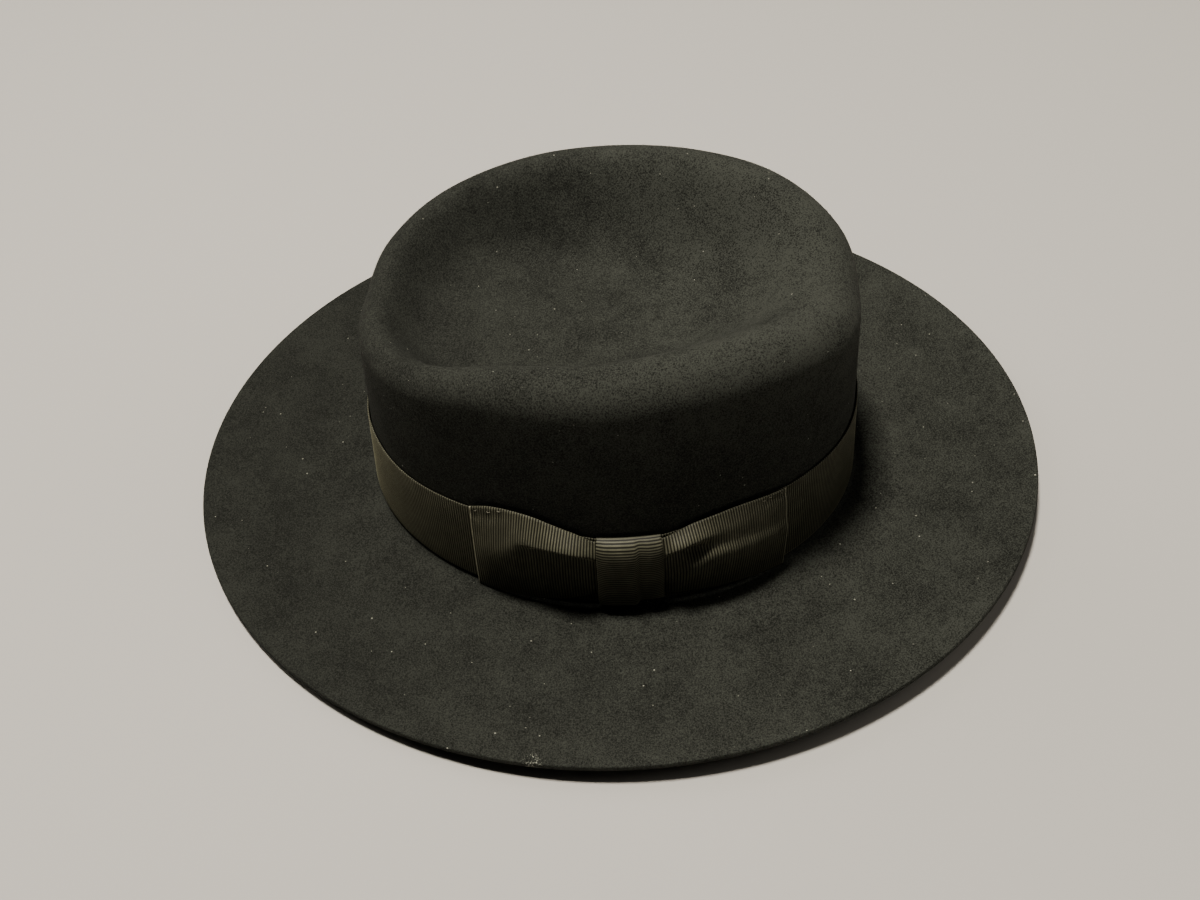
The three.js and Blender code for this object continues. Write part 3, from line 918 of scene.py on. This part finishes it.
@dataclass
class Ribbon:
    """A ribbon as a thin closed sheet over a grid of points, with its UV map in metres."""

    name: str
    material: bpy.types.Material
    outer: np.ndarray
    inner: np.ndarray
    along: np.ndarray
    across: np.ndarray
    closed: bool = False
    selvedge: float = 0.9 * MM
    selvedge_relief: float = 0.25
    ribs_up: bool = False
    relief: float = 0.17 * MM
    # Reach of the painted highlight at the ends; none when zero.
    end_highlight_reach: float = 0.0

    def build(self) -> bpy.types.Object:
        """Builds the sheet and raises its ribs.

        Returns:
            The piece.
        """
        columns, rows = self.outer.shape[:2]
        points = np.concatenate([self.outer, self.inner[:, ::-1]], axis=1)
        size = 2 * rows
        faces = grid_faces(columns, size, wrap=self.closed)
        here = np.arange(columns if self.closed else columns - 1)
        beyond = (here + 1) % columns
        faces += [
            (a * size + size - 1, b * size + size - 1, b * size, a * size)
            for a, b in zip(here.tolist(), beyond.tolist())
        ]
        if not self.closed:
            last = (columns - 1) * size
            for r in range(rows - 1):
                back = size - 1 - r
                faces.append((back, r, r + 1, back - 1))
                faces.append((last + r, last + back, last + back - 1, last + r + 1))
        made = mesh_object(self.name, points, faces)
        made.data.materials.append(self.material)
        self.mark(made, rows, columns)
        return RibRelief(self.material, self.relief).apply(made)

    def mark(self, made: bpy.types.Object, rows: int, columns: int) -> None:
        """Writes the UV map, the attributes that the ribs follow and the share of painted highlight near
        the ends.

        Args:
            made: The sheet.
            rows: Rows of one face of the sheet.
            columns: Columns of the sheet.
        """
        along = np.concatenate([self.along, self.along[:, ::-1]], axis=1)
        across = np.concatenate([self.across, self.across[:, ::-1]], axis=1)
        rib_way, other_way = (across, along) if self.ribs_up else (along, across)
        edge = np.minimum(other_way - other_way.min(), other_way.max() - other_way)
        near = np.clip(edge / self.selvedge, 0, 1)
        raised = self.selvedge_relief + (1 - self.selvedge_relief) * near
        front = np.zeros_like(raised)
        front[:, :rows] = 1
        # Painted highlight near the ends of the ribbon.
        near_end = np.minimum(along - along.min(), along.max() - along)
        painted_end_highlight = np.exp(-((near_end / self.end_highlight_reach) ** 2)) if self.end_highlight_reach else 0 * along
        mesh = made.data
        for name, values in (("along", rib_way), ("raised", raised * front), ("painted_end_highlight", painted_end_highlight)):
            attribute = mesh.attributes.new(name, "FLOAT", "POINT")
            attribute.data.foreach_set("value", values.reshape(-1).astype(np.float32))
        uv = mesh.uv_layers.new(name="cloth")
        corner = np.zeros(len(mesh.loops), int)
        mesh.loops.foreach_get("vertex_index", corner)
        u = rib_way.reshape(-1)[corner]
        v = other_way.reshape(-1)[corner]
        if self.closed:
            starts = np.array([p.loop_start for p in mesh.polygons])
            sizes = np.array([p.loop_total for p in mesh.polygons])
            widest = np.maximum.reduceat(u, starts)
            turn = np.repeat(widest, sizes)
            seam = turn - u > rib_way.max() / 2
            step = rib_way[1, 0] - rib_way[0, 0]
            u = np.where(seam, u + rib_way.max() + step, u)
        uv.data.foreach_set("uv", np.stack([u, v], axis=1).reshape(-1).astype(np.float32))


@dataclass
class Bow:
    """Flat bow, narrowed and folded toward the knot."""

    material: bpy.types.Material
    depth: float = 5.4 * MM
    knot_setback: float = 1.1 * MM
    knot_width: float = 24 * MM
    front_wing: float = 48.2 * MM
    back_wing: float = 46 * MM
    columns_per_rib: int = 6
    rows: int = 44
    sections: tuple[BowSection, ...] = (
        BowSection(0, (0, 0.05, 0.06, 0.05, 0), (-0.06, 0.24, 0.5, 0.8, 1.05)),
        BowSection(0.06, (0.03, 0.26, 0.42, 0.26, 0), (-0.05, 0.25, 0.56, 0.82, 1.12)),
        BowSection(0.13, (0.07, 0.4, 0.66, 0.46, 0), (-0.02, 0.28, 0.64, 0.85, 1.14)),
        BowSection(0.21, (0.12, 0.46, 0.58, 0.95, 0), (0.01, 0.34, 0.75, 0.88, 1.11)),
        BowSection(0.28, (0.2, 0.48, 0.5, 1.15, 0), (0.05, 0.38, 0.77, 0.88, 1.03)),
        BowSection(0.34, (0.28, 0.5, 0.46, 1.15, 0), (0.11, 0.4, 0.74, 0.84, 0.955)),
        BowSection(0.385, (0.24, 0.48, 0.42, 0.75, 0), (0.16, 0.42, 0.66, 0.77, 0.88)),
        BowSection(0.41, (0.14, 0.42, 0.4, 0.56, 0), (0.17, 0.42, 0.62, 0.72, 0.86)),
        BowSection(0.61, (0.14, 0.42, 0.4, 0.56, 0), (0.13, 0.42, 0.62, 0.72, 0.855)),
        BowSection(0.645, (0.28, 0.6, 0.22, 0.95, 0), (0.12, 0.43, 0.69, 0.8, 0.89)),
        BowSection(0.7, (0.26, 0.96, 0.2, 0.95, 0), (0.1, 0.53, 0.71, 0.86, 0.97)),
        BowSection(0.77, (0.2, 1, 0.62, 0.6, 0), (0.06, 0.57, 0.73, 0.88, 1.02)),
        BowSection(0.87, (0.12, 0.8, 0.52, 0.34, 0), (0.01, 0.53, 0.71, 0.89, 1.055)),
        BowSection(1, (0, 0.3, 0.18, 0.1, 0), (-0.06, 0.45, 0.65, 0.85, 1.02)),
    )
    puckers: tuple[Pucker, ...] = (
        Pucker(0.02, 0.955, 35),
        Pucker(0.065, 0.95, 8),
        Pucker(0.1, 0.975, 4),
        Pucker(0.93, 0.945, -12),
        Pucker(0.95, 0.965, -25),
        Pucker(0.985, 0.96, -60),
    )
    # Reach of the painted highlight along the bow's ends.
    end_highlight_reach: float = 0.34 * MM
    pucker_size: float = 2.2 * MM
    pucker_depth: float = 0.35 * MM
    press: float = 0.2
    samples: int = 721
    flat: tuple[float, float] = (0.0, 0.0)

    @property
    def start(self) -> float:
        """Place of the front end, behind the hat's middle."""
        return self.knot_setback - self.front_wing

    @property
    def end(self) -> float:
        """Place of the back end, behind the hat's middle."""
        return self.knot_setback + self.knot_width + self.back_wing

    def face(self, at: np.ndarray, up: np.ndarray) -> tuple[np.ndarray, np.ndarray]:
        """Outer face of the bow.

        Args:
            at: Places along the bow, as shares.
            up: Shares of its width.

        Returns:
            Distances off the crown's wall and heights, a row for each place.
        """
        places = np.array([section.at for section in self.sections])
        steps = np.linspace(0, 1, len(self.sections[0].up))
        read = {}
        for key in ("out", "up"):
            table = np.array([getattr(section, key) for section in self.sections])
            lines = np.stack([smooth_through(places, table[:, i], at) for i in range(len(steps))], 1)
            read[key] = np.stack([smooth_through(steps, line, up) for line in lines])
        off = self.lowest + self.depth * np.maximum(0, read["out"])
        return off, FORM.band_foot + FORM.band_width * read["up"]

    @property
    def lowest(self) -> float:
        """How far the bow's face stands off the crown's wall where it lies on the band."""
        return 2 * (FORM.seat + FORM.ribbon)

    def pulled(self, at: np.ndarray, up: np.ndarray) -> np.ndarray:
        """Depth of the dimples under the tack stitches.

        Args:
            at: Places along the bow, as shares.
            up: Shares of its width.

        Returns:
            Depths, a row for each place.
        """
        depth = np.zeros((len(at), len(up)))
        for pucker in self.puckers:
            along = (at - pucker.at)[:, None] * (self.end - self.start)
            across = (up - pucker.up + self.pucker_size / FORM.band_width) * FORM.band_width
            depth += self.pucker_depth * np.exp(-(along**2 + across**2) / self.pucker_size**2)
        return depth

    def build(self) -> bpy.types.Object:
        """Builds the bow.

        Returns:
            The piece.
        """
        ends = FORM.angle_behind(np.array([self.start, self.end]))
        fine = np.linspace(ends[0], ends[1], self.samples)
        track = FORM.wall_point(fine, 4 * FORM.ribbon + 0 * fine, FORM.band_foot + 0 * fine)
        lengths = walked(track)
        ribs = round(lengths[-1] / FORM.rib_pitch)
        columns = ribs * self.columns_per_rib + 1
        angle = np.interp(np.linspace(0, lengths[-1], columns), lengths, fine)
        y = FORM.foot_length * np.sin(angle)
        at = (y - self.start) / (self.end - self.start)
        up = np.linspace(0, 1, self.rows + 1)
        off, z = self.face(at, up)
        off = np.maximum(off - self.pulled(at, up), self.lowest - self.press * FORM.ribbon)
        spread_angle = angle[:, None] + 0 * z
        outer = FORM.wall_point(spread_angle, off, z)
        inner = FORM.wall_point(spread_angle, off - FORM.cloth, z)
        along = np.linspace(0, ribs * FORM.rib_pitch, columns)[:, None] + 0 * z
        across = up[None, :] * FORM.band_width + 0 * z
        self.flat = (FORM.band_width, float(lengths[-1]))
        # Reach of the painted highlight along the ends.
        wear_and_end_highlight = self.end_highlight_reach
        return Ribbon("side_bow", self.material, outer, inner, along, across, end_highlight_reach=wear_and_end_highlight).build()


@dataclass
class Band:
    """Grosgrain ribbon round the foot of the crown."""

    material: bpy.types.Material
    bow: Bow
    columns_per_rib: int = 6
    dip: float = 6.5 * MM
    dip_reach: float = 28 * MM
    rows: tuple[float, ...] = (0, 0.012, 0.03, 0.2, 0.5, 0.8, 0.97, 0.988, 1)
    recess: float = 0.2 * MM
    samples: int = 2881
    flat: tuple[float, float] = (0.0, 0.0)

    def top(self, angle: np.ndarray) -> np.ndarray:
        """Height of the band's upper edge, lowest behind the knot.

        Args:
            angle: Angles from +X.

        Returns:
            The heights.
        """
        middle = self.bow.knot_setback + self.bow.knot_width / 2
        beside = (FORM.foot_length * np.sin(angle) - middle) / self.dip_reach
        dip = np.where(np.cos(angle) > 0, self.dip * np.exp(-(beside**2)), 0)
        return FORM.band_foot + FORM.band_width - dip

    def build(self) -> bpy.types.Object:
        """Builds the band.

        Returns:
            The piece.
        """
        fine = np.linspace(0, 2 * math.pi, self.samples)
        track = FORM.wall_point(fine, FORM.seat + FORM.ribbon + 0 * fine, FORM.band_foot + 0 * fine)
        lengths = walked(track)
        ribs = round(lengths[-1] / FORM.rib_pitch)
        columns = ribs * self.columns_per_rib
        angle = np.interp(np.arange(columns) / columns * lengths[-1], lengths, fine)
        up = np.array(self.rows)
        spread_angle = angle[:, None] + 0 * up
        z = FORM.band_foot + (self.top(angle)[:, None] - FORM.band_foot) * up
        face = FORM.seat + FORM.ribbon - self.recess
        outer = FORM.wall_point(spread_angle, face + 0 * z, z)
        inner = FORM.wall_point(spread_angle, face - FORM.cloth + 0 * z, z)
        along = (np.arange(columns) / self.columns_per_rib * FORM.rib_pitch)[:, None] + 0 * up
        across = self.rows * np.ones((columns, 1)) * FORM.band_width
        ribbon = Ribbon("band_ribbon", self.material, outer, inner, along, across, closed=True)
        made = ribbon.build()
        self.flat = (FORM.band_width, float(lengths[-1]))
        return made


@dataclass
class Knot:
    """Ribbon folded round the bow's middle, in front of the band."""

    material: bpy.types.Material
    bow: Bow
    wall: float = 1.1 * MM
    fold: float = 0.8 * MM
    drop: float = 4.8 * MM
    rise: float = 2.2 * MM
    step: float = 2.4 * MM
    relief: float = 0.06 * MM
    columns: int = 48
    rows_per_rib: int = 6
    skin: float = 0.9
    tries: int = 5
    flat: tuple[float, float] = (0.0, 0.0)
    folds: tuple[KnotFold, ...] = (
        KnotFold(0, -0.6, 0.1),
        KnotFold(0.12, 0.6, 0),
        KnotFold(0.35, 1, 0),
        KnotFold(0.58, 0.8, 0.05),
        KnotFold(0.64, -0.5, 0.75),
        KnotFold(0.8, 0.2, 0.9),
        KnotFold(0.92, 0, 0.95),
        KnotFold(1, -0.8, 1),
    )
    turns: tuple[KnotTurn, ...] = (
        KnotTurn(0, 0.01, -90),
        KnotTurn(0.55, 0, -82),
        KnotTurn(0.84, 0.05, -45),
        KnotTurn(0.92, 0.15, -12),
        KnotTurn(0.98, 0.45, -4),
        KnotTurn(1, 0.79, 6),
        KnotTurn(0.87, 0.92, 42),
        KnotTurn(0.45, 0.985, 72),
        KnotTurn(0, 1, 90),
    )

    def build(self) -> bpy.types.Object:
        """Builds the knot.

        Returns:
            The piece.
        """
        span = self.bow.end - self.bow.start
        shares = np.linspace(0, 1, self.tries)
        under = (self.bow.front_wing + self.bow.knot_width * shares) / span
        clear = float(self.bow.face(under, shares)[0].max()) + FORM.seat
        behind = self.bow.lowest - FORM.ribbon
        high = FORM.band_foot + FORM.band_width - self.drop
        turns = np.array(self.turns)
        off_line = behind + (clear - behind) * turns[:, 0]
        up_line = turns[:, 1] * (high - FORM.band_foot - self.rise)
        steps = np.concatenate([[0], np.cumsum(np.hypot(np.diff(off_line), np.diff(up_line)))])
        ribs = round(steps[-1] / FORM.rib_pitch)
        rows = ribs * self.rows_per_rib + 1
        read = np.linspace(0, steps[-1], rows)
        off = smooth_through(steps, off_line, read)
        up = smooth_through(steps, turns[:, 1], read)
        lean = np.radians(np.interp(read, steps, turns[:, 2]))
        at = np.linspace(0, 1, self.columns + 1)
        places = np.array([fold.at for fold in self.folds])
        stand = self.fold * smooth_through(places, np.array([f.stand for f in self.folds]), at)
        step = self.step * smooth_through(places, np.array([f.step for f in self.folds]), at)
        foot = (FORM.band_foot + self.rise + step)[:, None]
        z = foot + (high - foot) * up
        angle = FORM.angle_behind(self.bow.knot_setback + self.bow.knot_width * at)[:, None] + 0 * off
        outwards = (self.skin * self.wall + stand[:, None]) * np.cos(lean)
        upwards = self.skin * self.wall * np.sin(lean)
        outer = FORM.wall_point(angle, off + outwards, z + upwards)
        inner = FORM.wall_point(angle, off + 0 * angle, z)
        along = (at * self.bow.knot_width)[:, None] + 0 * angle
        across = np.linspace(0, ribs * FORM.rib_pitch, rows)[None, :] + 0 * angle
        self.flat = (self.bow.knot_width, float(steps[-1]))
        sheet = ("bow_knot_ribbon", self.material, outer, inner, along, across)
        return Ribbon(*sheet, ribs_up=True, relief=self.relief).build()


@dataclass
class TackStitches:
    """Geometry Nodes that lay a short arch of thread over each pucker of the bow."""

    material: bpy.types.Material
    bow: Bow
    length: float = 1.3 * MM
    rise: float = 0.28 * MM
    thread: float = 0.18 * MM
    resolution: int = 6
    ahead: float = 0.01

    def tree(self) -> bpy.types.NodeTree:
        """Builds the tree.

        Returns:
            The tree, with inputs for the arch and for the material.
        """
        sizes = {"Half Length": "Float", "Rise": "Float", "Thread": "Float"}
        graph = PieceTree("tack_stitches", sizes)
        start = graph.start
        left = graph.add("ShaderNodeCombineXYZ", {"X": graph.product(start["Half Length"], -1.0)})
        middle = graph.add("ShaderNodeCombineXYZ", {"Z": graph.product(start["Rise"], 2.0)})
        right = graph.add("ShaderNodeCombineXYZ", {"X": start["Half Length"]})
        points = {"Start": left.outputs[0], "Middle": middle.outputs[0], "End": right.outputs[0]}
        arch = graph.add(
            "GeometryNodeCurveQuadraticBezier", {"Resolution": self.resolution, **points}
        )
        ring = graph.add(
            "GeometryNodeCurvePrimitiveCircle",
            {"Resolution": self.resolution, "Radius": start["Thread"]},
        )
        inputs = {"Curve": arch.outputs[0], "Profile Curve": ring.outputs[0], "Fill Caps": True}
        stitch = graph.add("GeometryNodeCurveToMesh", inputs)
        turn = graph.attribute("turn", "FLOAT_VECTOR")
        spun = graph.add("FunctionNodeEulerToRotation", {0: turn})
        laid = graph.add(
            "GeometryNodeInstanceOnPoints",
            {"Points": start["Geometry"], "Instance": stitch.outputs[0], "Rotation": spun.outputs[0]},
        )
        return graph.close(laid.outputs[0])

    def build(self) -> bpy.types.Object:
        """Builds the stitches.

        Returns:
            The piece.
        """
        at = np.array([pucker.at for pucker in self.bow.puckers])
        y = self.bow.start + (self.bow.end - self.bow.start) * at
        places, turns = [], []
        for i, pucker in enumerate(self.bow.puckers):
            off, z = self.bow.face(at[i : i + 1], np.array([pucker.up]))
            angle = FORM.angle_behind(y[i : i + 1])[:, None]
            places.append(FORM.wall_point(angle, off, z)[0, 0])
            near = FORM.wall_point(angle + self.ahead, off, z)[0, 0]
            along = Vector(near - places[-1]).normalized()
            outwards = along.cross(Vector((0, 0, 1))).normalized()
            frame_turn = Matrix((along, outwards.cross(along), outwards)).transposed()
            turns.append((frame_turn @ Matrix.Rotation(math.radians(pucker.turn), 3, "Z")).to_euler())
        piece = mesh_object("tack_stitches", np.array(places), [])
        attribute = piece.data.attributes.new("turn", "FLOAT_VECTOR", "POINT")
        attribute.data.foreach_set("vector", np.array(turns).reshape(-1).astype(np.float32))
        modifier = piece.modifiers.new("stitches", "NODES")
        modifier.node_group = self.tree()
        values = {"Half Length": self.length / 2, "Rise": self.rise, "Thread": self.thread / 2}
        set_inputs(modifier, {**values, "Material": self.material})
        return realized(piece)


@dataclass
class NapFibres:
    """Geometry Nodes that strew short loose hairs over the felt's outer skin."""

    material: bpy.types.Material
    felt: bpy.types.Object
    to_square_metre: float = 300000.0
    length: float = 1.5 * MM
    thickness: float = 0.06 * MM
    lean: tuple[float, float] = (0.9, 1.5)
    sizes: tuple[float, float] = (0.4, 1.2)
    seed: int = 5

    def tree(self) -> bpy.types.NodeTree:
        """Builds the tree.

        Returns:
            The tree, with inputs for the hairs and for the material.
        """
        sizes = {"Density": "Float", "Length": "Float", "Radius": "Float", "Seed": "Int"}
        graph = PieceTree("nap_fibres", sizes)
        start = graph.start
        density = graph.product(start["Density"], graph.attribute("nap"))
        strewn = graph.add(
            "GeometryNodeDistributePointsOnFaces",
            {"Mesh": start["Geometry"], "Density": density, "Seed": start["Seed"]},
        )
        cone = graph.add(
            "GeometryNodeMeshCone",
            {"Vertices": 3, "Radius Bottom": start["Radius"], "Depth": start["Length"]},
        )
        lean = graph.add(
            "FunctionNodeRandomValue",
            {
                "Min": (self.lean[0], 0.0, 0.0),
                "Max": (self.lean[1], 0.0, 2 * math.pi),
                "Seed": start["Seed"],
            },
            data_type="FLOAT_VECTOR",
        )
        local = graph.add("FunctionNodeEulerToRotation", {0: lean.outputs[0]})
        turned = graph.add(
            "FunctionNodeRotateRotation",
            {"Rotation": strewn.outputs["Rotation"], "Rotate By": local.outputs[0]},
            rotation_space="LOCAL",
        )
        span = {2: self.sizes[0], 3: self.sizes[1], "Seed": start["Seed"]}
        size = graph.add("FunctionNodeRandomValue", span)
        laid = graph.add(
            "GeometryNodeInstanceOnPoints",
            {
                "Points": strewn.outputs["Points"],
                "Instance": cone.outputs["Mesh"],
                "Rotation": turned.outputs[0],
                "Scale": size.outputs[1],
            },
        )
        return graph.close(laid.outputs[0])

    def build(self) -> bpy.types.Object:
        """Builds the hairs.

        Returns:
            The piece.
        """
        piece = bpy.data.objects.new("felt_nap", self.felt.data.copy())
        bpy.context.scene.collection.objects.link(piece)
        modifier = piece.modifiers.new("hairs", "NODES")
        modifier.node_group = self.tree()
        values = {"Density": self.to_square_metre, "Length": self.length, "Radius": self.thickness / 2}
        set_inputs(modifier, {**values, "Seed": self.seed, "Material": self.material})
        return realized(piece)


@dataclass
class Sweatband:
    """Leather strip standing inside the head opening."""

    material: bpy.types.Material
    columns: int = 240
    corner: float = 0.3 * MM
    rows: int = 8

    def build(self) -> bpy.types.Object:
        """Builds the sweatband.

        Returns:
            The piece.
        """
        low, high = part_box("sweatband")
        angle = np.arange(self.columns) * 2 * math.pi / self.columns
        outside = -FORM.felt - FORM.seat
        inside = outside - FORM.leather
        heights = np.linspace(low.z + self.corner, high.z - self.corner, self.rows)
        loop = [(inside, h) for h in heights[::-1]]
        loop += [(inside + self.corner, low.z), (outside - self.corner, low.z)]
        loop += [(outside, h) for h in heights]
        loop += [(outside - self.corner, high.z), (inside + self.corner, high.z)]
        off, z = np.array(loop).T
        around = angle[:, None] + 0 * off
        points = FORM.wall_point(around, off + 0 * around, z + 0 * around)
        size = len(loop)
        faces = grid_faces(self.columns, size, wrap=True)
        for a in range(self.columns):
            b = (a + 1) % self.columns
            faces.append((a * size + size - 1, b * size + size - 1, b * size, a * size))
        made = mesh_object("sweatband_leather", points, faces)
        made.data.materials.append(self.material)
        return made


@dataclass
class Studio:
    """Plain pale floor, soft light and a camera at the photograph's angle."""

    floor_colour: tuple[float, float, float] = (0.52, 0.503, 0.478)
    floor_roughness: float = 0.9
    floor_specular: float = 0.2
    floor_size: float = 12.0
    world: float = 0.014
    world_colour: tuple[float, float, float] = (1.0, 0.98, 0.95)
    light_colour: tuple[float, float, float] = (1.0, 0.95, 0.86)
    key_place: tuple[float, float, float] = (0.0, -0.25, 2.0)
    key_size: float = 0.3
    key_power: float = 49.0
    fill_size: float = 1.4
    front_fill_place: tuple[float, float, float] = (-0.7, -1.5, 1.3)
    front_fill_power: float = 9.0
    back_fill_place: tuple[float, float, float] = (-0.2, 1.6, 1.2)
    back_fill_power: float = 6.5
    look: str = "AgX - Medium High Contrast"
    azimuth: float = 7.0
    elevation: float = 46.17
    roll: float = -3.82
    distance: float = 0.5727
    target: tuple[float, float, float] = (0, -0.00567, -0.00064)
    lens: float = 39.0
    sensor: float = 36.0

    def build(self) -> None:
        """Adds the floor, the lights and the camera."""
        half = self.floor_size / 2
        corners = np.array([[-half, -half, 0], [half, -half, 0], [half, half, 0], [-half, half, 0]])
        floor = mesh_object("studio_floor", corners, [(0, 1, 2, 3)])
        material = bpy.data.materials.new("studio_floor")
        material.use_nodes = True
        shader = material.node_tree.nodes["Principled BSDF"]
        shader.inputs["Base Color"].default_value = (*self.floor_colour, 1)
        shader.inputs["Roughness"].default_value = self.floor_roughness
        shader.inputs["Specular IOR Level"].default_value = self.floor_specular
        floor.data.materials.append(material)
        self.add_light("key", self.key_place, self.key_size, self.key_power)
        self.add_light("front_fill", self.front_fill_place, self.fill_size, self.front_fill_power)
        self.add_light("back_fill", self.back_fill_place, self.fill_size, self.back_fill_power)
        self.add_world()
        bpy.context.scene.view_settings.look = self.look
        self.add_camera()

    def add_world(self) -> None:
        """Adds a faint even light from all round."""
        world = bpy.data.worlds.new("studio_world")
        world.use_nodes = True
        background = world.node_tree.nodes["Background"]
        background.inputs["Color"].default_value = (*self.world_colour, 1)
        background.inputs["Strength"].default_value = self.world
        bpy.context.scene.world = world

    def add_light(self, name: str, place: tuple, size: float, power: float) -> None:
        """Adds a square area light that faces the hat."""
        data = bpy.data.lights.new(name, "AREA")
        data.shape = "SQUARE"
        data.size = size
        data.energy = power
        data.color = self.light_colour
        light = bpy.data.objects.new(name, data)
        light.location = place
        light.rotation_euler = (-Vector(place)).to_track_quat("-Z", "Y").to_euler()
        bpy.context.scene.collection.objects.link(light)

    def add_camera(self) -> None:
        """Adds the camera, turned about its own axis by the roll."""
        azimuth, elevation, roll = map(math.radians, (self.azimuth, self.elevation, self.roll))
        back = Vector(
            (
                math.cos(elevation) * math.cos(azimuth),
                math.cos(elevation) * math.sin(azimuth),
                math.sin(elevation),
            )
        )
        right = (-back).cross(Vector((0, 0, 1))).normalized()
        up = right.cross(-back)
        across = right * math.cos(roll) + up * math.sin(roll)
        upright = up * math.cos(roll) - right * math.sin(roll)
        data = bpy.data.cameras.new("camera")
        data.lens = self.lens
        data.sensor_width = self.sensor
        camera = bpy.data.objects.new("camera", data)
        turn = Matrix((across, upright, back)).transposed().to_4x4()
        camera.matrix_world = Matrix.Translation(Vector(self.target) + back * self.distance) @ turn
        bpy.context.scene.collection.objects.link(camera)
        bpy.context.scene.camera = camera


def settle(piece: bpy.types.Object, node: str | None) -> None:
    """Rides a piece on the hat, hides the solid that it replaces and logs its triangles.

    Args:
        piece: The piece.
        node: Node that it replaces, or none.
    """
    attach(piece, BODY)
    if node:
        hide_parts(node)
    LOG.info("%s: %d triangles", piece.name, sum(len(p.vertices) - 2 for p in piece.data.polygons))


def main() -> None:
    """Builds the hat piece by piece and writes how large it has become."""
    logging.basicConfig(level=logging.INFO, format="%(name)s: %(message)s")
    Studio().build()
    felt = FeltFinish("fur_felt").make()
    grosgrain = RibbonFinish("grosgrain").make()
    leather = LeatherFinish("sweatband_leather").make()
    hair = LOOSE_HAIR.make()
    thread = TACK_THREAD.make()

    felt_piece = FeltBody(felt).build()
    nap_piece = NapFibres(hair, felt_piece).build()
    settle(felt_piece, "felt_body")
    settle(nap_piece, None)

    bow = Bow(grosgrain)
    band = Band(grosgrain, bow)
    band_piece = band.build()
    settle(band_piece, "ribbon_band")

    bow_piece = bow.build()
    settle(bow_piece, "bow")

    knot = Knot(grosgrain, bow)
    knot_piece = knot.build()
    settle(knot_piece, "bow_knot")

    settle(TackStitches(thread, bow).build(), None)
    settle(Sweatband(leather).build(), "sweatband")


if __name__ == "__main__":
    main()
